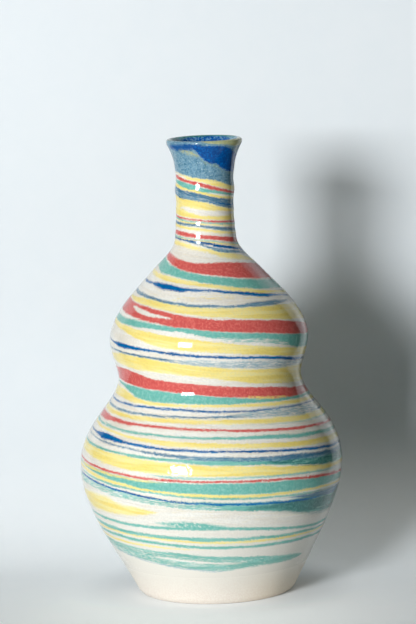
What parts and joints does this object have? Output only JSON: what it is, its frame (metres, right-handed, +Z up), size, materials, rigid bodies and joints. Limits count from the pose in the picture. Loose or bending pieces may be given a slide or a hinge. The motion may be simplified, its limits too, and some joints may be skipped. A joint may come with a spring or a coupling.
{
  "type": "marbled ceramic bottle vase",
  "caption": "Hand-thrown double-gourd bottle vase of marbled coloured clay, with a flared lip, a narrow neck, a round waist and a plain tapered foot; it holds cut stems and water.",
  "frame": {"origin": "centre of the foot, on the surface that the vase stands on", "axes": "+Z up along the vase's axis, -Y towards the front that the picture shows, +X to its right"},
  "size_m": [0.1442, 0.1442, 0.2498],
  "materials": {
    "cream_clay": "fine cream clay, matte where it is bare at the foot",
    "slate_clay": "slate-blue stained clay, mottled",
    "deep_blue_clay": "deep-blue stained clay",
    "red_clay": "soft red stained clay",
    "teal_clay": "teal stained clay",
    "yellow_clay": "yellow stained clay",
    "clear_glaze": "clear gloss glaze"
  },
  "bodies": {
    "root": {"clay_body": "cream_clay", "lip_collar": "slate_clay", "lip_blue_streak": "deep_blue_clay", "red_streak": "red_clay", "teal_streak": "teal_clay", "blue_streak": "deep_blue_clay", "yellow_streak": "yellow_clay", "outer_glaze": "clear_glaze", "inner_glaze": "clear_glaze"}
  },
  "joints": []
}
